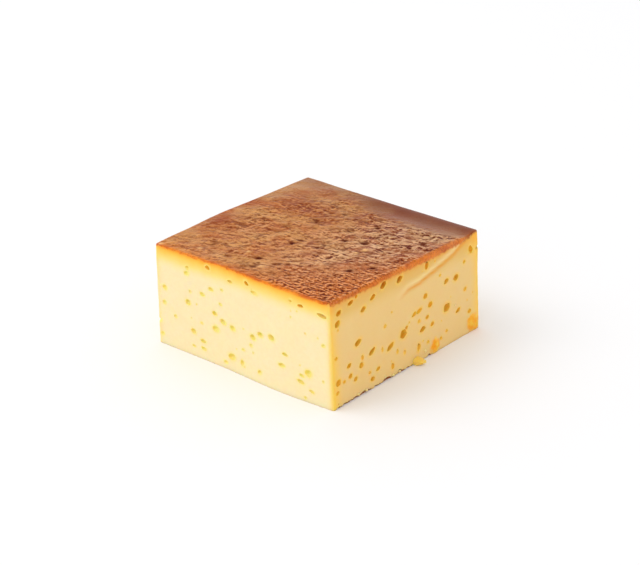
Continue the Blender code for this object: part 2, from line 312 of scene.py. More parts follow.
def smoothness(s, x, y):
    """Where the skin is smooth and dark in the gutter, and where it is smooth at all."""
    share = np.clip(1 - ((s - SMOOTH_MIDDLE) / SMOOTH_HALF_LENGTH) ** 2, 0.001, 1)
    width = SMOOTH_WIDTH * np.sqrt(share)
    from_back = TOP_WIDTH / 2 - y + 1.6 * MM * noise_at(x / (7 * MM), y / (7 * MM))
    dark = (1 - smooth_step(0.1, 1.25, from_back / width)) * smooth_step(0, 0.95, share)
    back_corner = SMOOTH_BACK_CORNER * smooth_step(34 * MM, 62 * MM, y - x)
    left_edge = SMOOTH_LEFT_EDGE * smooth_step(-24 * MM, -38 * MM, x)
    return dark, np.maximum(np.minimum(1, 1.4 * dark), np.maximum(back_corner, left_edge))


def along_grain(x, y):
    """Coordinates along and across the grain of the crinkles."""
    return x * GRAIN_DIRECTION[0] + y * GRAIN_DIRECTION[1], y * GRAIN_DIRECTION[0] - x * GRAIN_DIRECTION[1]


def folds(x, y):
    """The long low folds of the skin."""
    along, over = (x + y) * math.sqrt(0.5), (y - x) * math.sqrt(0.5)
    return FOLD_HEIGHT * noise_at(0.55 * along / FOLD_LENGTH, over / FOLD_LENGTH)


def wrinkles(along, over, spacing, seed):
    """Height of wrinkles of one size, from 0 to 1, and how near each point is to a crest and a crease."""
    bend = 1.1 * noise_at(along / (1.6 * spacing), over / (1.4 * spacing), seed)
    bend += 0.6 * noise_at(along / (0.7 * spacing), over / (0.8 * spacing), seed + 30)
    phase = (bend - over / spacing) % 1
    height = np.where(phase < CREST, smooth_step(0, CREST, phase), 1 - smooth_step(CREST, 1, phase))
    strength = smooth_step(-0.5, 0.2, noise_at(along / (2.4 * spacing), over / (1.7 * spacing), seed + 60))
    broken = noise_at(along / spacing, over / (0.7 * spacing), seed + 90)
    strength *= 0.25 + 0.75 * smooth_step(-0.2, 0.25, broken)
    crest = hump(phase - CREST, -0.1, 0.17)
    crease = hump((phase + 0.53) % 1, 0.5, 0.14)
    return np.stack([height, crest, crease]) * strength


def skin_texture(x, y):
    """Height of the wrinkles, and the shares of crest and crease: finer towards the near corner."""
    along, over = along_grain(x, y)
    near_corner = smooth_step(8 * MM, 66 * MM, x - y)
    total = np.zeros((3, len(x)))
    for (spacing, height, seed), share in (
        (COARSE_WRINKLES, 1 - 0.65 * near_corner),
        (FINE_WRINKLES, 0.35 + 0.65 * near_corner),
    ):
        rise, crest, crease = wrinkles(along, over, spacing, seed) * share
        total[0] += height * rise
        total[1:] = np.maximum(total[1:], np.stack([crest, crease]))
    return total


def pit_list():
    """Every pit of the skin: those named above and the strewn ones."""
    draw = random.Random(23)
    pits = list(SKIN_PITS)
    for _ in range(STREWN_PITS):
        x, y = draw.uniform(*STREWN_PITS_X), draw.uniform(*STREWN_PITS_Y)
        pits.append((x, y, draw.uniform(*STREWN_PIT_RADII), draw.uniform(*STREWN_PIT_DEPTHS)))
    return pits


def dimples(x, y, spots, full):
    """The relief of these spots, and how strongly any is felt: fully where it is this high or more."""
    relief, felt = np.zeros_like(x), np.zeros_like(x)
    along, over = along_grain(x, y)
    for at_x, at_y, radius, height in spots:
        at_along, at_over = along_grain(at_x * MM, at_y * MM)
        spot = ((along - at_along) / SPOT_LENGTH) ** 2 + (over - at_over) ** 2
        share = np.exp(-spot / (radius * MM) ** 2)
        relief += height * MM * share
        felt = np.maximum(felt, np.minimum(1, 1.5 * share) * min(1, height / full))
    return relief, felt


def patches_felt(x, y, patches):
    """How strongly the soft patches of a table are felt."""
    felt = np.zeros_like(x)
    for at_x, at_y, reach, strength in patches:
        distance = np.hypot(x / MM - at_x, y / MM - at_y)
        felt = np.maximum(felt, strength * hump(distance, 0, reach))
    return felt


def skin_relief(s, t, x, y):
    """The height of the skin above the plain top, and its masks by name."""
    from_middle = np.maximum(np.abs(s), np.abs(t))
    flat_edge = 1 - smooth_step(0.9, 1.0, from_middle)
    calm = 1 - RIM_CALM * smooth_step(0.955, 0.99, from_middle)
    trough = gutter(s, y)
    dark, smooth = smoothness(s, x, y)
    height, crest, crease = skin_texture(x, y)
    pit_depth, pit_felt = dimples(x, y, pit_list(), DARK_PIT)
    fleck_height, fleck_felt = dimples(x, y, SKIN_FLECKS, PALE_FLECK)
    rough = (1 - smooth) * calm
    fine = (height - SKIN_LEVEL - pit_depth) * rough + fleck_height
    total = swells(x, y) - GUTTER_DEPTH * trough + folds(x, y) * flat_edge * (1 - trough) + fine
    return total, {
        "crease": crease * rough,
        "crest": crest * rough,
        "skin_pit": pit_felt * rough,
        "fleck": fleck_felt,
        "stain": patches_felt(x, y, SKIN_STAINS),
        "pale": patches_felt(x, y, PALE_PLACES),
        "gutter": dark,
        "smooth": smooth,
    }


# ----------------------------------------------------------------------------------------------------
# The whole block as it is cut from the tray: the custard's cut faces and the skin, in one closed
# shape. It is made from a box with fine strips, which is bent and swollen into place before any
# bubble is opened in it.


def block_points(s, t, w):
    """Places of the block's points, from box coordinates, and the skin's masks there."""
    s, t, w = rounded(s, t, w)
    x, y = plan(s, t, w)
    relief, masks = skin_relief(s, t, x, y)
    z = w * HEIGHT + relief * w**4
    arc = EDGE_RADIUS * 2 / TOP_LENGTH
    on_x, on_y = smooth_step(1 - arc, 1, np.abs(s)), smooth_step(1 - arc, 1, np.abs(t))
    rim = smooth_step(0.93, 0.985, w)
    lumps = noise_at((x + y) / RIM_LUMP_LENGTH, (x - y) / RIM_LUMP_LENGTH, 1.5 * z / RIM_LUMP_LENGTH)
    lumps = RIM_LUMP_HEIGHT * rim * lumps
    out_x = cut_face_relief(y, z, 3.0 + np.sign(s)) + lumps
    out_y = cut_face_relief(x, z, 9.0 + np.sign(t)) + lumps
    along, up = (y + FOOT_WIDTH / 2) / MM, z / MM
    out_x += np.where(s > 0, (crease_relief(along, up) + torn_relief(along, up)) * MM, 0)
    x, y = x + np.sign(s) * on_x * out_x, y + np.sign(t) * on_y * out_y
    return np.stack([x, y, z], axis=-1), masks


def box_grid():
    """A box from -1 to 1 across and 0 to 1 up, with fine strips on all faces but the foot, which is one."""
    bm = bmesh.new()
    upright = Matrix.Translation((0, -1, 0.5)) @ Matrix.Rotation(math.radians(90), 4, "X")
    half_high = Matrix.Diagonal((1, 0.5, 1, 1))
    bmesh.ops.create_grid(
        bm, x_segments=STRIPS_ACROSS, y_segments=STRIPS_ACROSS, size=1, matrix=Matrix.Translation((0, 0, 1))
    )
    for quarter in range(4):
        place = Matrix.Rotation(math.radians(90 * quarter), 4, "Z") @ upright @ half_high
        bmesh.ops.create_grid(bm, x_segments=STRIPS_ACROSS, y_segments=STRIPS_UP, size=1, matrix=place)
    bmesh.ops.remove_doubles(bm, verts=bm.verts, dist=1e-5)
    bmesh.ops.holes_fill(bm, edges=[edge for edge in bm.edges if edge.is_boundary])
    bmesh.ops.recalc_face_normals(bm, faces=bm.faces)
    return bm


def new_piece(name, bm):
    """A mesh object in the scene from a finished bmesh."""
    mesh = bpy.data.meshes.new(name)
    bm.to_mesh(mesh)
    bm.free()
    piece = bpy.data.objects.new(name, mesh)
    bpy.context.scene.collection.objects.link(piece)
    return piece


flan_bm = box_grid()
box_places = np.array([vert.co for vert in flan_bm.verts])
s_line, t_line, w_line = box_places.T
s_line = s_line + NARROWING_ACROSS * np.sin(math.pi * s_line) / math.pi
t_line = t_line + NARROWING_ACROSS * np.sin(math.pi * t_line) / math.pi
w_line = w_line - NARROWING_UP * np.sin(math.pi * w_line) * w_line / math.pi
block_places, _ = block_points(s_line, t_line, w_line)
for vert, place in zip(flan_bm.verts, block_places):
    vert.co = Vector(place) + FOOT_MIDDLE
flan = new_piece("caramel_flan", flan_bm)

# ----------------------------------------------------------------------------------------------------
# The opened bubbles. Steam leaves small round holes in baked custard, and the knife opens those in its
# way. Each is half an uneven egg. Bubbles sit in loose groups, and most are in the lower half. A row is
# the place along the face from its left end, the place up it, width, height, depth as a share of the
# width, and a tilt in degrees. Lengths are in millimetres, and the faces are seen from outside.

FRONT_BUBBLES = (
    (16, 33, 1.8, 1.6, 0.4, 0), (15.5, 31, 2.4, 1.6, 0.3, 10), (26, 35.5, 2.2, 1.6, 0.5, -20),
    (44.5, 35, 2.2, 1.4, 0.6, -30), (48, 32.5, 3, 1.4, 0.3, -8), (69.5, 34, 2.6, 1.2, 0.5, 0),
    (4, 22.5, 2.2, 1.8, 0.5, -20), (15.5, 20, 2.6, 2, 0.6, -15), (22.7, 25, 2.4, 1.4, 0.4, -10),
    (27, 28, 2.4, 1.4, 0.5, 0), (28.5, 19.5, 2.4, 1.6, 0.6, -10), (32.5, 17.5, 2.8, 1.8, 0.5, -15),
    (37, 16.5, 2.4, 2, 0.5, -15), (28.8, 13.8, 3.2, 2.4, 0.4, 0), (17.5, 9.5, 2.4, 2, 0.6, -25),
    (22, 7, 2.6, 1.4, 0.6, -8), (46.5, 16, 2.6, 2, 0.6, -15), (50, 18, 2.6, 1.8, 0.6, -5),
    (55.3, 18.5, 3, 2, 0.7, -20), (61.4, 14.4, 2.4, 1.2, 0.6, -5), (59.8, 10, 3, 1.4, 0.4, 0),
    (36, 5.5, 3.4, 2.4, 0.5, 0), (41, 4.8, 1.8, 2.4, 0.5, 0), (49.3, 4, 1.8, 1.6, 0.4, 0),
    (71.5, 10.5, 3, 2.6, 0.5, 0), (68, 6.5, 3, 1.4, 0.5, -12), (78.7, 33, 4.2, 1.5, 0.7, -4),
    (0, 9, 2.6, 1.6, 0.5, 0), (3.6, 16.7, 1.8, 1.6, 0.25, 0), (16.7, 24.4, 1.3, 1.1, 0.3, 0),
    (32.4, 29.2, 1.5, 1, 0.3, 0), (31.5, 23.7, 1.6, 1.1, 0.25, -10), (8.8, 12.7, 1.5, 1.3, 0.3, 0),
    (17.3, 3.8, 1.8, 0.9, 0.35, -8), (22.2, 4.2, 2.4, 1.2, 0.3, -5), (45.5, 12.7, 1.6, 1.3, 0.25, 0),
    (41.8, 10, 1.5, 1, 0.3, 0), (33, 2.6, 2, 1.2, 0.3, -5), (68.7, 8.9, 2.2, 1.1, 0.4, -10),
    (72.8, 4.3, 2.4, 1, 0.35, -15), (78, 9.5, 1.1, 1, 0.4, 0), (78.8, 22.5, 1.9, 1.1, 0.3, 10),
    (65, 34.6, 1.5, 0.9, 0.3, 0), (36.6, 33.4, 2.2, 1, 0.35, 0), (70, 1.4, 1.3, 1, 0.4, 0),
    (1.9, 4, 1.7, 1.5, 0.3, 0), (22, 14, 1.4, 1, 0.2, 0),
)
RIGHT_BUBBLES = (
    (5, 33, 2.6, 1.8, 0.6, 25), (4, 29.5, 2.8, 2.2, 0.6, 30), (11, 34.5, 2.6, 1.4, 0.5, 20),
    (17, 30, 2.8, 1.8, 0.6, 25), (22, 32.5, 2.8, 1.6, 0.5, 25), (27.5, 35, 3.2, 2.2, 0.7, 35),
    (36, 34, 3.2, 2.2, 0.7, 30), (50.5, 34, 2, 3, 0.6, -10), (13.5, 19.5, 3.4, 2, 0.6, 25),
    (8.5, 13, 2.2, 1.6, 0.5, 20), (20.5, 13.5, 3.6, 1.8, 0.6, 25), (14.7, 10.7, 2.2, 2, 0.5, 0),
    (9, 9, 2, 1.6, 0.5, 20), (11.5, 7, 2, 1.6, 0.5, 20), (3, 9, 2.6, 2.2, 0.5, 30),
    (20, 3.6, 2.2, 1.6, 0.6, 0), (23.1, 6.1, 2.2, 1.4, 0.4, 15), (30.7, 4, 1.6, 2.2, 0.5, 0),
    (30, 11.5, 4, 1.8, 0.4, 25), (37, 13.5, 3.4, 3.2, 0.7, 20), (47, 11.5, 3, 1.8, 0.6, 20),
    (52.5, 11.5, 2, 1.6, 0.4, 20), (50, 15, 2, 1.4, 0.5, 20), (49.5, 23, 2.2, 2, 0.5, 0),
    (52, 19, 2.4, 2, 0.4, 20), (61, 24.5, 2.6, 1.8, 0.6, 25), (66.5, 24, 3, 2.4, 0.6, 15),
    (61, 14.5, 3.6, 3.2, 0.7, 20), (67.5, 11, 2.6, 1.4, 0.5, 25), (75, 32, 2.1, 3.1, 0.65, 15),
    (73.7, 8.4, 2, 1.6, 0.4, 10), (44.8, 5.5, 1.8, 3, 0.4, -5), (79.3, 31.5, 1.6, 1.2, 0.5, 0),
    (13.9, 35.7, 1.4, 1.1, 0.6, 0), (27.7, 19.9, 1.5, 1.3, 0.3, 20), (2.3, 17.9, 1.5, 1.3, 0.4, 20),
    (15.4, 13.3, 1.4, 1.8, 0.4, 0), (5.9, 8.3, 1.5, 1.2, 0.4, 10), (2.3, 5.6, 1.7, 1.3, 0.4, 15),
    (18.7, 6.4, 1.2, 1.1, 0.5, 0), (25.8, 12.1, 1.1, 1.8, 0.3, 0), (37.3, 6.7, 1.1, 1.7, 0.35, 0),
    (45.5, 15.1, 1.5, 1.3, 0.3, 10), (43.2, 18.6, 2.6, 1.4, 0.3, 25), (46, 18.8, 3, 1.6, 0.3, 25),
    (71.3, 28.5, 1.5, 1.4, 0.4, 20), (71.4, 17.9, 1.7, 1.5, 0.3, 10), (50, 5.6, 1.4, 1.3, 0.35, 0),
    (57.3, 4.2, 1.5, 1.2, 0.4, 0), (60.6, 5.7, 1.3, 1.1, 0.3, 0), (4.1, 27.3, 1.1, 0.9, 0.2, 0),
    (38.8, 15.2, 1.6, 1.3, 0.6, 10), (57.6, 28, 1.3, 1, 0.3, 20), (33.6, 8.4, 1.2, 1.6, 0.3, 0),
)

# Chips that the spatula tore out of the right-hand face's foot: place along, width, height.
FOOT_CHIPS = (
    (2.2, 1.6, 1.0), (5.8, 3.2, 1.4), (8.9, 1.4, 1.2), (11.4, 3.0, 1.6), (15.8, 5.6, 2.3), (21.5, 2.2, 1.2),
    (27.4, 4.8, 2.3), (34.4, 2.4, 2.8), (38.6, 2.2, 1.2), (42.6, 2.8, 2.0), (50.4, 1.8, 1.6),
)
CHIP_DEPTH = 0.6
CHIP_CENTRE = 0.1

# Between the chips the foot is gnawed all along, from one place on the face to another, and the strip
# that is missing grows and dies out over these lengths.
GNAWED_FROM = 1.0
GNAWED_TO = 57.0
GNAWED_STARTS_IN = 2
GNAWED_ENDS_IN = 26
GNAWED_STEPS = 220
GNAWED_DEPTH = 0.3
GNAWED_HEIGHT = 0.5

# How deep each face's bubbles are, as a share of the depths in the rows.
FACE_DEPTHS = {"front": 0.65, "right": 1.0, "back": 0.8, "left": 0.8}

# How uneven a bubble is, how far it may swell for that, and up to which width it has fewer facets.
UNEVENNESS = 0.22
SWELLS_TO = 1.25
FEW_FACETS_WIDTH = 1.2

# The back and left faces are strewn with bubbles of the same sizes by a rule.
STREWN_COUNT = 16
STREWN_WIDTHS = (2.0, 3.4)
STREWN_FLATNESS = (0.55, 0.9)
STREWN_DEPTHS = (0.4, 0.65)
STREWN_MARGIN = 3.0
STREWN_GAP = 4.5

# Smaller ones lie between them on those faces, and tiny ones on all four: how many, how wide, how far
# they stay from the face's ends, its foot, its top and each other, and how much they crowd low down.
SMALL_COUNT = 24
SMALL_WIDTHS = (1.1, 2.2)
TINY_COUNT = 12
TINY_WIDTHS = (0.5, 0.9)
SMALL_MARGIN = 1.5
LOWEST = 1.2
SMALL_TOP_MARGIN = 4
SMALL_GAP = 0.4
CROWDING = 1.4

# Each upright face by the corners at its left and right ends, seen from outside.
FACES = {
    "front": ((-1, -1), (1, -1)),
    "right": ((1, -1), (1, 1)),
    "back": ((1, 1), (-1, 1)),
    "left": ((-1, 1), (-1, -1)),
}


def face_length(face):
    left, right = FACES[face]
    return (FOOT_LENGTH if left[1] == right[1] else FOOT_WIDTH) / MM


def on_face(face, along, up):
    """The place and the axes of a spot on an upright face: along it, up it, and outwards."""
    left, right = FACES[face]
    share, w = along / face_length(face), up * MM / HEIGHT
    ahead = np.array([0, 0.01, 0])
    s, t = (left[axis] + (right[axis] - left[axis]) * (share + ahead) for axis in (0, 1))
    places, _ = block_points(s, t, w + np.array([0, 0, 0.01]))
    here, beside, above = (Vector(place) + FOOT_MIDDLE for place in places)
    along_axis = (beside - here).normalized()
    outward = along_axis.cross(above - here).normalized()
    return here, Matrix((along_axis, outward.cross(along_axis), outward)).transposed()


def strewn_landmarks(draw, length):
    """The larger bubbles of a face that isn't seen from the front: spread out, clear of its ends."""
    spots = []
    while len(spots) < STREWN_COUNT:
        along = draw.uniform(STREWN_MARGIN, length - STREWN_MARGIN)
        up = draw.uniform(STREWN_MARGIN, HEIGHT / MM - STREWN_MARGIN)
        width = draw.uniform(*STREWN_WIDTHS)
        flatness, depth = draw.uniform(*STREWN_FLATNESS), draw.uniform(*STREWN_DEPTHS)
        if all(math.hypot(along - row[0], up - row[1]) > STREWN_GAP for row in spots):
            spots.append((along, up, width, width * flatness, depth, 0))
    return spots


def with_smaller(draw, spots, length, count, widths):
    """Adds this many smaller bubbles between the others, more of them low down than high up."""
    spots = list(spots)
    wanted = len(spots) + count
    while len(spots) < wanted:
        along, width = draw.uniform(SMALL_MARGIN, length - SMALL_MARGIN), draw.uniform(*widths)
        up = LOWEST + (HEIGHT / MM - SMALL_TOP_MARGIN) * draw.random() ** CROWDING
        if all(
            math.hypot(along - row[0], up - row[1]) > (width + row[2]) / 2 + SMALL_GAP for row in spots
        ):
            spots.append((along, up, width, width * draw.uniform(0.6, 1), draw.uniform(0.3, 0.5), 0))
    return spots


def add_bubble(bm, place, axes, width, height, depth, tilt, seed):
    """An uneven egg of curd to cut out, half of it inside the face."""
    size = Matrix.Diagonal((width / 2 * MM, height / 2 * MM, depth * width * MM, 1))
    turned = Matrix.Translation(place) @ axes.to_4x4() @ Matrix.Rotation(math.radians(tilt), 4, "Z")
    made = bmesh.ops.create_icosphere(bm, subdivisions=3 if width > FEW_FACETS_WIDTH else 2, radius=1)
    for vert in made["verts"]:
        swelling = 1 + UNEVENNESS * noise.noise(vert.co * 1.1 + Vector((0, 0, seed)))
        vert.co = turned @ size @ (vert.co * swelling)


def cut_out(piece, bm):
    """Takes the shapes of a bmesh out of a piece."""
    cutter = new_piece("bubble_cutter", bm)
    cut = piece.modifiers.new("cut", "BOOLEAN")
    cut.operation, cut.solver, cut.object = "DIFFERENCE", "MANIFOLD", cutter
    graph = bpy.context.evaluated_depsgraph_get()
    done = bpy.data.meshes.new_from_object(piece.evaluated_get(graph))
    piece.modifiers.clear()
    piece.data = done
    bpy.data.objects.remove(cutter)


def placed(face, row):
    """A bubble or a chip as add_bubble takes it, from a row of its face's table."""
    along, up, width, height, depth, tilt = row
    place, axes = on_face(face, along, up)
    return place, axes, width, height, depth * FACE_DEPTHS[face], tilt


def gnawed_height(along):
    """How high the foot of the right-hand face is gnawed away, in millimetres."""
    ragged = noise_at(along / 3.1, 0.0, 40.0) + 0.7 * noise_at(along / 0.8, 0.0, 50.0)
    start = smooth_step(GNAWED_FROM, GNAWED_FROM + GNAWED_STARTS_IN, along)
    end = 1 - smooth_step(GNAWED_TO - GNAWED_ENDS_IN, GNAWED_TO, along)
    return np.maximum(0.04, GNAWED_HEIGHT * (0.9 + 1.6 * ragged) * start * end)


def gnawed_strip():
    """The strip with a ragged upper edge that is missing along the foot of the right-hand face."""
    bm = bmesh.new()
    bmesh.ops.create_grid(bm, x_segments=GNAWED_STEPS, y_segments=1, size=1)
    along = np.array([GNAWED_FROM + (vert.co.x + 1) / 2 * (GNAWED_TO - GNAWED_FROM) for vert in bm.verts])
    up = np.where([vert.co.y > 0 for vert in bm.verts], gnawed_height(along), -0.5)
    t = along * MM / FOOT_WIDTH * 2 - 1
    places, _ = block_points(np.ones_like(t), t, np.full_like(t, 0.01))
    for vert, (x, y, _), vert_up in zip(bm.verts, places, up):
        vert.co = FOOT_MIDDLE + Vector((x - GNAWED_DEPTH * MM, y, vert_up * MM))
    moved = bmesh.ops.extrude_face_region(bm, geom=bm.faces[:])["geom"]
    outer = [item for item in moved if isinstance(item, bmesh.types.BMVert)]
    bmesh.ops.translate(bm, verts=outer, vec=(5 * MM, 0, 0))
    bmesh.ops.recalc_face_normals(bm, faces=bm.faces)
    return bm


faces_draw = random.Random(11)
bubbles = {
    "front": FRONT_BUBBLES,
    "right": RIGHT_BUBBLES,
    "back": strewn_landmarks(faces_draw, face_length("back")),
    "left": strewn_landmarks(faces_draw, face_length("left")),
}
for face in ("back", "left"):
    bubbles[face] = with_smaller(faces_draw, bubbles[face], face_length(face), SMALL_COUNT, SMALL_WIDTHS)
for face in FACES:
    bubbles[face] = with_smaller(faces_draw, bubbles[face], face_length(face), TINY_COUNT, TINY_WIDTHS)
opened = [placed(face, row) for face, rows in bubbles.items() for row in rows]
chips = [
    placed("right", (along, CHIP_CENTRE, width, height, CHIP_DEPTH / width, 0))
    for along, width, height in FOOT_CHIPS
]

# Bubbles that run into each other are cut one after the other, so each round's are clear of each other.
cutting_rounds = []
for spot in opened + chips:
    place, _, width, height, _, _ = spot
    reach = max(width, height) / 2 * MM * SWELLS_TO
    for others in cutting_rounds:
        if all((place - other[0]).length > reach + max(other[2:4]) / 2 * MM * SWELLS_TO for other in others):
            others.append(spot)
            break
    else:
        cutting_rounds.append([spot])
for number, spots in enumerate(cutting_rounds):
    cutter_bm = bmesh.new()
    for seed, spot in enumerate(spots):
        add_bubble(cutter_bm, *spot, seed=seed + 50 * number)
    cut_out(flan, cutter_bm)
cut_out(flan, gnawed_strip())

# ----------------------------------------------------------------------------------------------------
# The finish of the block. Custard is pale cream. Inside bubbles and where it is thin, as at its corners,
# it is deeper yellow: a painted glow of light through thin custard, and bubble walls carry painted shade
# and painted light. The right-hand face is a painted shaded copy of the front. Under the skin the caramel
# stains it orange, then yellow. The skin is caramel brown, with painted shade in its creases, low spots
# and pits, painted highlights on its crests and lips, and a painted grey reflection at its back; it is
# glossier in the gutter. The masks say where each of these is.

# Depth below the skin is kept as a share of this, in millimetres.
GLOW_DEPTH = 10.0

# How far the skin wraps down over the rim of the right-hand face, and where it does so most.
RIGHT_WRAP = 0.9
RIGHT_WRAP_MORE = 0.8
RIGHT_WRAP_PLACE = 14
RIGHT_WRAP_REACH = 16

# How strongly the skin is browned at its rim, and how fast that fades inwards, at the front and right
# edges; and how strong the painted grey sheen along the back edge is, and how fast it fades. In millimetres.
RIM_STRENGTH = 0.9
FRONT_RIM_FADE = 1.8
RIGHT_RIM_FADE = 1.1
BACK_SHEEN_STRENGTH = 0.5
BACK_SHEEN_FADE = 0.8

# How strong the painted grey reflection on the skin is at its back corner, and along the whole of its back.
SHEEN_CORNER = 0.5
SHEEN_BACK = 0.2

# The brown line that the knife dragged along the crease, and the pale flap above it: how far up from
# the crease each lies, and how far it reaches, in millimetres.
DRAGGED_LINE = (-0.1, 0.7)
DRAGGED_FLAP = (1.7, 0.8)

# How brown the foot is, and how much browner on the right-hand face.
FOOT_BROWNING = 0.35
RIGHT_FOOT_BROWNING = 0.4

# A bubble narrower than this, in millimetres, takes less of the painted glow and shade inside. Custard is
# deeper yellow round a bubble, and not at all past this many times the bubble's own reach.
PAINTED_PIT_WIDTH = 2.2
HALO_REACH = 2.2

# Painted shade darkens the upper side of a bubble's wall, and the side towards the face's left end.
PAINTED_SHADE_UP = 0.75
PAINTED_SHADE_ALONG = 0.6

# How strong the painted glow of light through the thin custard is at each upright corner, and how far it
# reaches, in millimetres: further on the right-hand face, and further still high up at its far end.
CORNER_STRENGTHS = {(1, -1): 1.0, (1, 1): 0.95, (-1, -1): 0.45, (-1, 1): 0.45}
CORNER_REACH = 1.5
RIGHT_CORNER_REACH = 3.0
FAR_CORNER_WIDENS = 3.0

# The skin's ripples, each with a painted highlight on the lip behind its low front, which takes painted
# shade: size, length as a multiple of it, and how far the lip lies behind the low front. The fine ones lie
# near the near corner.
LONG_RIPPLES = (2.2 * MM, 2.0, 1.2 * MM)
SHORT_RIPPLES = (1.1 * MM, 1.45, 0.8 * MM)
FINE_RIPPLES = (0.9 * MM, 1.8, 0.75 * MM)

# How far light spreads inside custard: red the furthest, as shares of the scatter's length.
CUSTARD_SCATTER = (1.0, 0.5, 0.18)
SCATTER_LENGTH = 2.5 * MM

# The skin's finish is on the faces that look up, down to this far below the plain top.
SKIN_FINISH_DEPTH = 1.8 * MM


def bubble_shares(points):
    """How deep each point lies in a bubble, how near it is to one, and how much painted shade it takes on
    the upper and left side of a bubble's wall.
    """
    depth_share, halo, painted_shade_side = np.zeros((3, len(points)))
    for place, axes, width, height, depth, tilt in opened:
        offset = points - np.array(place)
        deepest = depth * width * MM
        reach = max(width, height) / 2 * MM * HALO_REACH
        near = np.nonzero(np.linalg.norm(offset, axis=1) < reach + deepest)[0]
        if not len(near):
            continue
        along, up, out = (offset[near] @ np.array(axes)).T
        lean = math.radians(tilt)
        u = (along * math.cos(lean) + up * math.sin(lean)) / (width / 2 * MM)
        v = (up * math.cos(lean) - along * math.sin(lean)) / (height / 2 * MM)
        from_middle, sunk = np.hypot(u, v), -out / deepest
        inside = (from_middle < SWELLS_TO) & (sunk > 0.04)
        # How much of the painted glow and shade inside a bubble this point takes.
        deepened_colour = np.clip(sunk, 0, 1) * min(1, (width / PAINTED_PIT_WIDTH) ** 3)
        for share, here in (
            (depth_share, inside * deepened_colour),
            (halo, 1 - smooth_step(0.9, 1.9, from_middle)),
            # Painted shade on the upper and left side of the bubble's wall.
            (painted_shade_side, inside * smooth_step(-0.25, 0.3, PAINTED_SHADE_UP * v - PAINTED_SHADE_ALONG * u)),
        ):
            share[near] = np.maximum(share[near], here)
    return depth_share, halo, painted_shade_side


def chipped(x, y, z):
    """1 for points inside the chips and the gnawed strip of the right-hand face's foot."""
    share = np.zeros_like(x)
    reached = (y > -FOOT_WIDTH / 2 + MM) & (y < -FOOT_WIDTH / 2 + (GNAWED_TO + 1) * MM)
    low = np.nonzero((z < 2.8 * MM) & (x > FOOT_LENGTH / 2 - 4 * MM) & reached)[0]
    t = np.clip(y[low] / (FOOT_WIDTH / 2), -1, 1)
    places, _ = block_points(np.ones(len(low)), t, z[low] / HEIGHT)
    share[low] = smooth_step(0.12, 0.3, (places[:, 0] - x[low]) / MM)
    return share


def painted_corner_glow(x, y, z, from_x, from_y, right_side):
    """How strong the painted glow of light through the thin custard is along its upright corners."""
    stain = np.zeros_like(x)
    for (side_x, side_y), strength in CORNER_STRENGTHS.items():
        reach = CORNER_REACH + (RIGHT_CORNER_REACH - CORNER_REACH) * right_side
        if side_x > 0 and side_y > 0:
            reach = reach + FAR_CORNER_WIDENS * right_side * smooth_step(24, 36, z / MM)
        here = (np.sign(x) == side_x) & (np.sign(y) == side_y)
        stain += strength * here * hump(np.hypot(from_x, from_y), 0, reach)
    return stain


def faded(strength, distance, fade):
    """This strength at an edge, dying out inwards from it."""
    return strength * np.exp(-np.maximum(distance, 0) / fade)


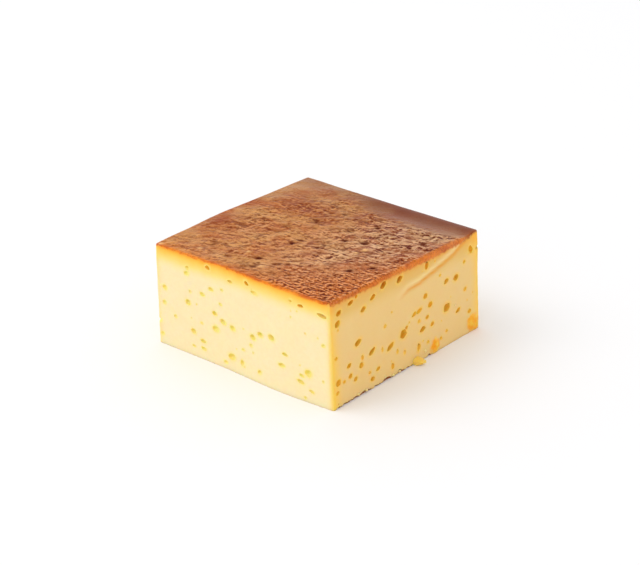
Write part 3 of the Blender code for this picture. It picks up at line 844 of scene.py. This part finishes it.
def store_masks(piece):
    """Works out every mask of the block from where its points are, and keeps it for the shader to read."""
    mesh = piece.data
    points = np.array([vert.co for vert in mesh.vertices])
    normals = np.array([vert.normal for vert in mesh.vertices])
    x, y, z = (points - np.array(FOOT_MIDDLE)).T
    s, t = np.clip(x / (TOP_LENGTH / 2), -1, 1), np.clip(y / (TOP_WIDTH / 2), -1, 1)
    below = (HEIGHT + swells(x, y) - GUTTER_DEPTH * gutter(s, y) - z) / MM
    from_x = (FOOT_LENGTH / 2 + (TOP_LENGTH - FOOT_LENGTH) / 2 * z / HEIGHT - np.abs(x)) / MM
    from_y = (FOOT_WIDTH / 2 + (TOP_WIDTH - FOOT_WIDTH) / 2 * z / HEIGHT - np.abs(y)) / MM

    # The skin's masks run on over its rim, as if it were laid out flat.
    over_rim = np.maximum(below, 0) * MM
    skin_x = x + np.sign(x) * over_rim * (from_x < from_y)
    skin_y = y + np.sign(y) * over_rim * (from_x >= from_y)
    _, masks = skin_relief(s, t, skin_x, skin_y)
    upward = smooth_step(0.45, 0.8, normals[:, 2]) * (1 - smooth_step(1.6, 2.4, below))
    for name in ("crest", "crease"):
        masks[name] = masks[name] * (0.3 + 0.7 * upward)

    right_side = smooth_step(-0.4, 0.4, np.where(y < 0, from_y - from_x, 1)) * (x > 0)
    right_side = np.maximum(right_side, smooth_step(-0.4, 0.4, from_x - from_y) * (y > 0))
    wrap = RIGHT_WRAP + RIGHT_WRAP_MORE * hump(y / MM, RIGHT_WRAP_PLACE, RIGHT_WRAP_REACH)
    wrap *= 1 - 0.8 * smooth_step(28, 36, y / MM)
    back_rim_sheen = faded(BACK_SHEEN_STRENGTH, (TOP_WIDTH / 2 - y) / MM, BACK_SHEEN_FADE)
    front_rim = faded(RIM_STRENGTH, from_y, FRONT_RIM_FADE) * (y < 0)
    right_rim = faded(RIM_STRENGTH, from_x, RIGHT_RIM_FADE) * (x > 0)
    sheen_corner = SHEEN_CORNER * smooth_step(22, 38, y / MM) * (1 - smooth_step(-8, 12, x / MM))
    along, up = (y + FOOT_WIDTH / 2) / MM, z / MM
    on_right = right_side * (from_x < 3)
    distance, strength = crease_distance(along, up)
    foot_browning = FOOT_BROWNING + RIGHT_FOOT_BROWNING * right_side
    # The bubbles' masks, with the side of each wall that takes painted shade.
    masks["bubble"], masks["halo"], masks["painted_shade_side"] = bubble_shares(points)
    masks.update(
        {
            "below": (below - wrap * right_side) / GLOW_DEPTH,
            "chip": chipped(x, y, z),
            # Painted glow of light through the thin custard along the upright corners.
            "corner": painted_corner_glow(x, y, z, from_x, from_y, right_side),
            "rim": np.maximum(front_rim, right_rim),
            # A painted grey sheen along the back edge.
            "back_rim_sheen": back_rim_sheen * smooth_step(-20, 0, x / MM),
            # A painted grey reflection at the back corner and along the back.
            "dull_and_sheen": np.maximum(sheen_corner, SHEEN_BACK * smooth_step(8, 17, y / MM)),
            "dragged": on_right * strength * hump(distance, *DRAGGED_LINE),
            "flap": on_right * strength * hump(distance, *DRAGGED_FLAP),
            "torn": on_right * torn_share(along, up),
            "foot": (1 - smooth_step(0.1, 0.9, up)) * foot_browning,
            "right_side": right_side,
            "upward": upward,
            "pinkness": smooth_step(-8, 26, x / MM),
            "near_corner": smooth_step(22, 60, (x - y) / MM),
        }
    )
    for name, values in masks.items():
        attribute = mesh.attributes.new(name, "FLOAT", "POINT")
        attribute.data.foreach_set("value", np.ascontiguousarray(values, np.float32))


def colour(red, green, blue):
    """A colour as it looks on a screen, from 0 to 255, as the linear values that a shader takes."""
    shares = [value / 255 for value in (red, green, blue)]
    return tuple(v / 12.92 if v <= 0.04045 else ((v + 0.055) / 1.055) ** 2.4 for v in shares) + (1,)


def put(tree, node, values):
    """Links an output to the node's socket of each name or number, or sets it to a plain value."""
    for socket, value in values.items():
        if isinstance(value, bpy.types.NodeSocket):
            tree.links.new(value, node.inputs[socket])
        else:
            node.inputs[socket].default_value = value


def new_node(tree, kind, values, **settings):
    made = tree.nodes.new("ShaderNode" + kind)
    for name, setting in settings.items():
        setattr(made, name, setting)
    put(tree, made, values)
    return made


def blend(tree, share, first, second):
    """A colour that goes from the first to the second as share goes from 0 to 1."""
    return new_node(tree, "Mix", {0: share, 6: first, 7: second}, data_type="RGBA").outputs[2]


def between(tree, share, first, second):
    """A number that goes from the first to the second as share goes from 0 to 1."""
    return new_node(tree, "Mix", {0: share, 2: first, 3: second}, data_type="FLOAT").outputs[0]


def calculate(tree, operation, first, second):
    return new_node(tree, "Math", {0: first, 1: second}, operation=operation).outputs[0]


def times(tree, first, second):
    return calculate(tree, "MULTIPLY", first, second)


def remap(tree, value, low, high, new_low=0.0, new_high=1.0):
    """Takes a value from one range to another, smoothly and without going past its ends."""
    values = dict(enumerate((value, low, high, new_low, new_high)))
    return new_node(tree, "MapRange", values, interpolation_type="SMOOTHSTEP").outputs[0]


def mask(tree, name, *ranges):
    """A mask of the block's points, taken from one range to another where they are given."""
    value = new_node(tree, "Attribute", {}, attribute_name=name).outputs["Fac"]
    return remap(tree, value, *ranges) if ranges else value


def mottle(tree, size, detail=3.0, stretch=(1, 1, 1), turn=0.0, back=0.0):
    """Noise with spots about this many metres wide, turned, stretched and moved back on the object."""
    object_place = new_node(tree, "TexCoord", {}).outputs["Object"]
    place = {"Rotation": (0, 0, turn), "Location": (0, -back * stretch[1], 0), "Scale": stretch}
    moved = new_node(tree, "Mapping", {"Vector": object_place, **place}).outputs[0]
    spots = {"Vector": moved, "Scale": 1 / size, "Detail": detail}
    return new_node(tree, "TexNoise", spots).outputs["Fac"]


def ramp(tree, value, stops):
    """A run of colours, each at its place from 0 to 1."""
    made = new_node(tree, "ValToRGB", {0: value})
    elements = made.color_ramp.elements
    while len(elements) < len(stops):
        elements.new(0.5)
    for element, (place, shade) in zip(elements, stops):
        element.position, element.color = place, shade
    return made.outputs[0]


def layered(tree, shade, layers):
    """Lays colours over a shade in turn. A row is a mask or an output, its strength and its colour."""
    for share, strength, layer in layers:
        share = mask(tree, share) if isinstance(share, str) else share
        share = share if strength == 1 else times(tree, share, strength)
        shade = blend(tree, share, shade, layer)
    return shade


# The glow of brown, orange and yellow that fades downwards from the skin.
FRONT_GLOW = (
    (0.02, colour(226, 130, 40)), (0.05, colour(246, 160, 46)), (0.11, colour(253, 186, 62)),
    (0.24, colour(252, 206, 92)), (0.42, colour(252, 220, 128)), (0.80, colour(253, 232, 180)),
)
# The right-hand face's glow is a darker, more saturated copy: painted shade, as that face lies out of the
# lamp's light.
RIGHT_GLOW = (
    (0.02, colour(204, 122, 38)), (0.05, colour(226, 156, 60)), (0.11, colour(234, 175, 80)),
    (0.24, colour(233, 184, 96)), (0.55, colour(235, 193, 112)), (0.90, colour(239, 201, 127)),
)


def custard_colour(tree):
    """The cut faces and the foot."""
    on_right, below, painted_shade_side = mask(tree, "right_side"), mask(tree, "below"), mask(tree, "painted_shade_side")
    # The right-hand face takes darker, more saturated copies of the front's colours throughout: painted
    # shade, as that face lies out of the lamp's light.
    pale = blend(tree, mottle(tree, 14 * MM), colour(252, 228, 176), colour(253, 232, 188))
    shaded_face_tone = blend(tree, mottle(tree, 11 * MM), colour(238, 199, 126), colour(241, 204, 137))
    freckles = remap(tree, mottle(tree, 1.2 * MM), 0.35, 0.7, 0, 0.12)
    ragged = remap(tree, mottle(tree, 5 * MM), 0.3, 0.7, -0.02, 0.02)
    depth = calculate(tree, "ADD", below, ragged)
    glow = blend(tree, on_right, ramp(tree, depth, FRONT_GLOW), ramp(tree, depth, RIGHT_GLOW))
    lower = remap(tree, below, 0.15, 0.6)
    # The corners take a painted glow of light through the thin custard, deeper on the right-hand face.
    right_corner = blend(tree, lower, colour(252, 184, 62), colour(255, 204, 84))
    corner = blend(tree, on_right, colour(253, 212, 104), right_corner)
    lumps = remap(tree, mottle(tree, 2 * MM), 0.34, 0.66)
    torn = blend(tree, lumps, colour(254, 166, 30), colour(255, 198, 72))
    halo = blend(tree, on_right, colour(254, 226, 132), colour(252, 202, 84))
    high = remap(tree, below, 0.3, 0.6, 0.3, 0)
    # Next to the skin the deeper gold is the caramel's stain; at the corners it is the painted glow.
    deepened_colour = calculate(tree, "MAXIMUM", high, mask(tree, "corner", 0.46, 0.7, 0, 0.3))
    # Bubble walls: painted shade on the upper and left side and painted light on the rest, much darker on
    # the right-hand face.
    front_pit = blend(tree, painted_shade_side, colour(253, 236, 142), colour(241, 222, 106))
    front_pit = blend(tree, remap(tree, deepened_colour, 0, 0.2), front_pit, colour(232, 172, 10))
    painted_lit_pit = blend(tree, lower, colour(240, 156, 10), colour(252, 194, 44))
    painted_shade_pit = blend(tree, lower, colour(36, 0, 0), colour(136, 78, 0))
    pit = blend(tree, on_right, front_pit, blend(tree, painted_shade_side, painted_lit_pit, painted_shade_pit))
    browned = blend(tree, mottle(tree, 3 * MM), colour(206, 142, 78), colour(236, 186, 116))
    layers = (
        (freckles, 1, colour(246, 208, 140)),
        (remap(tree, depth, 0.4, 1.0, 1, 0), 1, glow),
        ("corner", 1, corner),
        ("flap", 0.6, colour(252, 224, 164)),
        ("dragged", 0.9, colour(236, 158, 46)),
        ("torn", 1, torn),
        ("halo", 0.7, halo),
        # Inside a bubble the gold is a painted glow, with painted shade and painted light on its walls.
        (calculate(tree, "POWER", mask(tree, "bubble"), 0.38), 1, pit),
        ("foot", 1, browned),
        ("chip", 1, colour(150, 88, 38)),
    )
    return layered(tree, blend(tree, on_right, pale, shaded_face_tone), layers)


def slopes(tree, size, length, back):
    """Heights of fine ripples, this many times as long as wide, and how steeply they fall forwards."""
    stretch = (1 / length, 1, 1)
    here, behind = (mottle(tree, size, 1.5, stretch, -GRAIN_TURN, moved) for moved in (0, back))
    return here, calculate(tree, "SUBTRACT", here, behind)


def crinkles(tree):
    """The fine crinkles of the skin: low spots, which take painted shade, the lips behind them, which take
    painted highlights, and heights, all from 0 to 1.
    """
    near_corner = mask(tree, "near_corner")
    felt = remap(tree, mottle(tree, 5 * MM), 0.4, 0.56, 0.45, 1)
    felt = times(tree, felt, mask(tree, "pinkness", 0, 0.8, 0.6, 1))
    felt = calculate(tree, "MAXIMUM", felt, near_corner)
    for name, ranges in (
        ("smooth", (0, 0.8, 1, 0)),
        ("upward", (0, 1, 0.25, 1)),
        ("rim", (0.25, 0.75, 1, 0.15)),
    ):
        felt = times(tree, felt, mask(tree, name, *ranges))
    long_height, long_slope = slopes(tree, *LONG_RIPPLES)
    short_height, short_slope = slopes(tree, *SHORT_RIPPLES)
    fine_height, fine_slope = slopes(tree, *FINE_RIPPLES)
    slope = calculate(tree, "ADD", times(tree, long_slope, 0.8), short_slope)
    slope = between(tree, near_corner, slope, times(tree, fine_slope, 1.1))
    height = calculate(tree, "ADD", long_height, times(tree, short_height, 0.5))
    height = between(tree, near_corner, height, times(tree, fine_height, 1.5))
    low, lip_highlight = remap(tree, slope, -0.16, -0.03, 1, 0), remap(tree, slope, 0.02, 0.15)
    raised = remap(tree, height, 0.4, 1.1)
    return [times(tree, share, felt) for share in (low, lip_highlight, raised)]


def skin_colour(tree, low, lip_highlight):
    """The browned top."""
    pinkness = mask(tree, "pinkness")
    patches = remap(tree, mottle(tree, 8 * MM, 3, (0.6, 1, 1), -GRAIN_TURN), 0.34, 0.6)
    tan = blend(tree, pinkness, colour(203, 143, 84), colour(202, 149, 101))
    burnt = blend(tree, pinkness, colour(186, 106, 52), colour(180, 111, 72))
    edge_spots = remap(tree, mottle(tree, 5 * MM), 0.36, 0.6)
    edge = blend(tree, edge_spots, colour(206, 94, 10), colour(242, 136, 16))
    specks = remap(tree, mottle(tree, 0.7 * MM, 2), 0.36, 0.5, 0.3, 0)
    # The colour of the painted highlights on the crests and lips.
    crest = blend(tree, pinkness, colour(240, 176, 112), colour(241, 194, 146))
    crest = blend(tree, mask(tree, "near_corner"), crest, colour(252, 178, 120))
    smooth = blend(tree, mottle(tree, 12 * MM, 2), colour(108, 42, 10), colour(124, 56, 18))
    layers = (
        ("pale", 1, colour(212, 151, 100)),
        ("stain", 1, colour(161, 74, 22)),
        # A painted grey reflection at the back corner and along the back.
        ("dull_and_sheen", 1, colour(124, 90, 74)),
        ("near_corner", 1, colour(190, 100, 36)),
        ("rim", 1, edge),
        (specks, 1, colour(140, 60, 24)),
        # Painted highlights on the crests and lips.
        ("crest", 0.3, crest),
        (lip_highlight, 0.65, crest),
        # Painted shade in the creases, the low spots and the pits.
        ("crease", 0.75, colour(120, 40, 12)),
        (low, 0.95, colour(98, 26, 2)),
        ("skin_pit", 0.95, colour(82, 18, 2)),
        ("gutter", 0.95, smooth),
        # A painted grey sheen along the back edge.
        ("back_rim_sheen", 1, colour(176, 148, 146)),
        # Pale curd flecks, partly a painted highlight.
        ("fleck", 1, colour(238, 184, 122)),
    )
    return layered(tree, blend(tree, patches, burnt, tan), layers)


def new_material(name):
    """A material, its node tree and its shader."""
    material = bpy.data.materials.new(name)
    material.use_nodes = True
    return material, material.node_tree, material.node_tree.nodes["Principled BSDF"]


def skin_glaze(tree, low):
    """How strong the skin's glaze is: more at the right, less at the near corner, and none in hollows."""
    glaze = calculate(tree, "ADD", mask(tree, "smooth", 0, 1, 0, 0.02), 0.12)
    glaze = calculate(tree, "ADD", glaze, mask(tree, "pinkness", 0, 1, 0, 0.12))
    glaze = calculate(tree, "SUBTRACT", glaze, mask(tree, "near_corner", 0, 1, 0, 0.3))
    hollow = calculate(tree, "MAXIMUM", low, mask(tree, "skin_pit"))
    hollow = calculate(tree, "MAXIMUM", hollow, mask(tree, "crease"))
    glaze = times(tree, glaze, remap(tree, hollow, 0.1, 0.7, 1.2, 0))
    return remap(tree, glaze, 0, 1)


def flan_material(name, subsurface, specular, glazed):
    """The block's finish. The skin lets less light into it than the custard does, and has a thin glaze."""
    material, tree, shader = new_material(name)
    ragged = remap(tree, mottle(tree, 1.8 * MM), 0.3, 0.7, -0.04, 0.04)
    skin_edge = calculate(tree, "ADD", mask(tree, "below"), ragged)
    skin_end = mask(tree, "right_side", 0, 1, 0.06, 0.13)
    browned = calculate(tree, "MAXIMUM", remap(tree, skin_edge, 0.01, skin_end, 1, 0), mask(tree, "upward"))
    low, lip_highlight, raised = crinkles(tree)
    dull_and_sheen = remap(tree, mottle(tree, 2 * MM), 0.3, 0.7, 0.38, 0.55)
    glossy = mask(tree, "smooth", 0, 1, 0.42, 0.26)
    grain = times(tree, mottle(tree, 0.7 * MM, 4), remap(tree, browned, 0, 1, 0.12, 0.5))
    height = calculate(tree, "ADD", grain, times(tree, raised, browned))
    bump = new_node(tree, "Bump", {"Strength": 0.8, "Distance": 0.3 * MM, "Height": height})
    finish = {
        "Base Color": blend(tree, browned, custard_colour(tree), skin_colour(tree, low, lip_highlight)),
        "Roughness": between(tree, browned, dull_and_sheen, glossy),
        "Normal": bump.outputs[0],
        "Subsurface Weight": subsurface,
        "Subsurface Radius": CUSTARD_SCATTER,
        "Subsurface Scale": SCATTER_LENGTH,
        "Specular IOR Level": specular,
        "IOR": 1.4,
    }
    if glazed:
        finish.update({"Coat Weight": skin_glaze(tree, low), "Coat Roughness": 0.25, "Coat IOR": 1.4})
    put(tree, shader, finish)
    return material


store_masks(flan)
flan.data.materials.clear()
flan.data.materials.append(flan_material("custard", 0.45, 0.25, False))
flan.data.materials.append(flan_material("browned_skin", 0.1, 0.1, True))
for polygon in flan.data.polygons:
    on_top = polygon.center.z > HEIGHT - SKIN_FINISH_DEPTH and polygon.normal.z > 0.6
    polygon.material_index = int(on_top)
flan.data.shade_smooth()
flan.data.set_sharp_from_angle(angle=math.radians(55))
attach(flan, "root")
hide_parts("flan")

# ----------------------------------------------------------------------------------------------------
# The crumbs. Soft crumbs of custard stick along the torn foot of the right-hand face, and one larger
# crumb leans out from it. A row is the place along the face, the place up it, width, height and how far
# it stands out, in millimetres.

CRUMBS = (
    (43.4, 1.2, 4.0, 2.4, 3.5), (65.8, 13.6, 0.8, 0.7, 0.25), (16.6, 1.0, 1.2, 1.0, 0.5),
    (26.4, 1.6, 1.0, 0.8, 0.4), (30.6, 0.9, 1.1, 0.9, 0.6), (34.2, 0.8, 1.2, 0.8, 0.4),
    (48.3, 2.9, 1.2, 1.1, 0.6), (12.2, 1.3, 0.9, 0.8, 0.4),
)
CRUMB_ROUGHNESS = 0.3
CRUMB_CLEARANCE = 0.05 * MM

# Crumbs up to this wide are paler than the larger one.
PALE_CRUMB = 2.0


def crumb_material(name, darker, lighter):
    """Soft custard of one colour, a little mottled."""
    material, tree, shader = new_material(name)
    finish = {
        "Base Color": blend(tree, mottle(tree, 1.5 * MM), darker, lighter),
        "Roughness": 0.42,
        "Subsurface Weight": 0.45,
        "Subsurface Radius": CUSTARD_SCATTER,
        "Subsurface Scale": 2 * MM,
    }
    put(tree, shader, finish)
    return material


crumbs_bm = bmesh.new()
pale = []
for along, up, width, height, out in CRUMBS:
    place, axes = on_face("right", along, up)
    size = Matrix.Diagonal((width / 2 * MM, height / 2 * MM, out * MM, 1))
    made = bmesh.ops.create_icosphere(crumbs_bm, subdivisions=4 if width > PALE_CRUMB else 3, radius=1)
    pale += [width <= PALE_CRUMB] * len(made["verts"])
    for vert in made["verts"]:
        swelling = 1 + CRUMB_ROUGHNESS * noise.fractal(vert.co * 1.3 + Vector((along, 0, 0)), 1.0, 2.0, 3)
        vert.co = Matrix.Translation(place) @ axes.to_4x4() @ size @ (vert.co * swelling)
        vert.co.z = max(vert.co.z, CRUMB_CLEARANCE)
crumbs = new_piece("crumbs", crumbs_bm)
crumbs.data.materials.append(crumb_material("golden_crumb", colour(255, 196, 62), colour(255, 224, 118)))
crumbs.data.materials.append(crumb_material("pale_crumb", colour(248, 208, 124), colour(252, 226, 166)))
for polygon in crumbs.data.polygons:
    polygon.material_index = int(pale[polygon.vertices[0]])
crumbs.data.shade_smooth()
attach(crumbs, "root")

# ----------------------------------------------------------------------------------------------------
# The studio: a plain white table under a broad soft lamp at the camera's left, with white walls all
# round that fill the shadows. The camera looks down on the near corner through a long lens.

TABLE_SIZE = 6.0
TABLE_COLOUR = (0.94, 0.94, 0.95, 1)
LAMP_AZIMUTH = -48
LAMP_ELEVATION = 50
LAMP_DISTANCE = 3.0
LAMP_SIZE = 2.0
LAMP_POWER = 22
WALL_BRIGHTNESS = 0.92

CAMERA_AZIMUTH = 41.98
CAMERA_ELEVATION = 24.765
CAMERA_ROLL = -1.602
CAMERA_DISTANCE = 654.85 * MM
CAMERA_AIM = FOOT_MIDDLE + Vector((0, 0, 20 * MM))
LENS = 105.11
SENSOR_WIDTH = 36.0
SHIFT = (0.0011, 0.0012)


def direction(azimuth, elevation):
    """The way to a place, from azimuth 0 in front of the block and 90 at its right."""
    turn, lift = math.radians(azimuth), math.radians(elevation)
    return Vector((math.sin(turn) * math.cos(lift), -math.cos(turn) * math.cos(lift), math.sin(lift)))


table_bm = bmesh.new()
bmesh.ops.create_grid(table_bm, x_segments=1, y_segments=1, size=TABLE_SIZE / 2)
table = new_piece("table", table_bm)
table_white, table_tree, table_shader = new_material("table")
put(table_tree, table_shader, {"Base Color": TABLE_COLOUR, "Roughness": 0.7})
table.data.materials.append(table_white)

walls = bpy.data.worlds.new("white_walls")
bpy.context.scene.world = walls
walls.use_nodes = True
wall_finish = {"Color": (1, 1, 1, 1), "Strength": WALL_BRIGHTNESS}
put(walls.node_tree, walls.node_tree.nodes["Background"], wall_finish)

lamp_data = bpy.data.lights.new("soft_lamp", "AREA")
lamp_data.energy, lamp_data.size = LAMP_POWER, LAMP_SIZE
lamp = bpy.data.objects.new("soft_lamp", lamp_data)
lamp.location = direction(LAMP_AZIMUTH, LAMP_ELEVATION) * LAMP_DISTANCE
lamp.rotation_euler = lamp.location.to_track_quat("Z", "Y").to_euler()
bpy.context.scene.collection.objects.link(lamp)

camera_data = bpy.data.cameras.new("camera")
camera_data.lens, camera_data.sensor_width = LENS, SENSOR_WIDTH
camera_data.shift_x, camera_data.shift_y = SHIFT
camera = bpy.data.objects.new("camera", camera_data)
back = direction(CAMERA_AZIMUTH, CAMERA_ELEVATION)
level = Vector((math.cos(math.radians(CAMERA_AZIMUTH)), math.sin(math.radians(CAMERA_AZIMUTH)), 0))
camera_axes = Matrix((level, back.cross(level), back)).transposed().to_4x4()
roll = Matrix.Rotation(math.radians(CAMERA_ROLL), 4, "Z")
camera.matrix_world = Matrix.Translation(CAMERA_AIM + back * CAMERA_DISTANCE) @ camera_axes @ roll
bpy.context.scene.collection.objects.link(camera)
bpy.context.scene.camera = camera
bpy.context.scene.view_settings.view_transform = "Standard"
